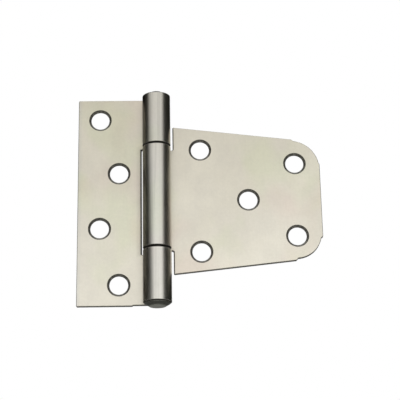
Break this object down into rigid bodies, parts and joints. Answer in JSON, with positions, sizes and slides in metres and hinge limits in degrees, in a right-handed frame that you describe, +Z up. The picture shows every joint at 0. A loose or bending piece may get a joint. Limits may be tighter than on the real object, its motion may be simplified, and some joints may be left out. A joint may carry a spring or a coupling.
{
  "type": "t hinge",
  "caption": "Surface-mount gate hinge: a tall post leaf and a long tapered leaf, rolled from plate, turning on one headed pin.",
  "frame": {"origin": "centre of the post leaf's flat back face, midway between its free edge and its notch and at mid height", "axes": "+Z up along the pin, away from the pin's head; +X from the post leaf towards the gate leaf's free end; +Y out of the flat backs, into the post"},
  "size_m": [0.1005, 0.0116, 0.0918],
  "materials": {
    "zinc_plate": "satin zinc plating with a faint warm iridescence, over cold-rolled steel plate",
    "pin_steel": "dull zinc plating on a formed steel pin"
  },
  "bodies": {
    "post_side": {"post_leaf": "zinc_plate", "hinge_pin": "pin_steel"},
    "gate_side": {"gate_leaf": "zinc_plate"}
  },
  "joints": [
    {"name": "pin_hinge", "type": "hinge", "parent": "post_side", "child": "gate_side", "pos_m": [0.0194, -0.0058, 0], "axis": [0, 0, -1], "range_deg": [-92, 192]}
  ]
}
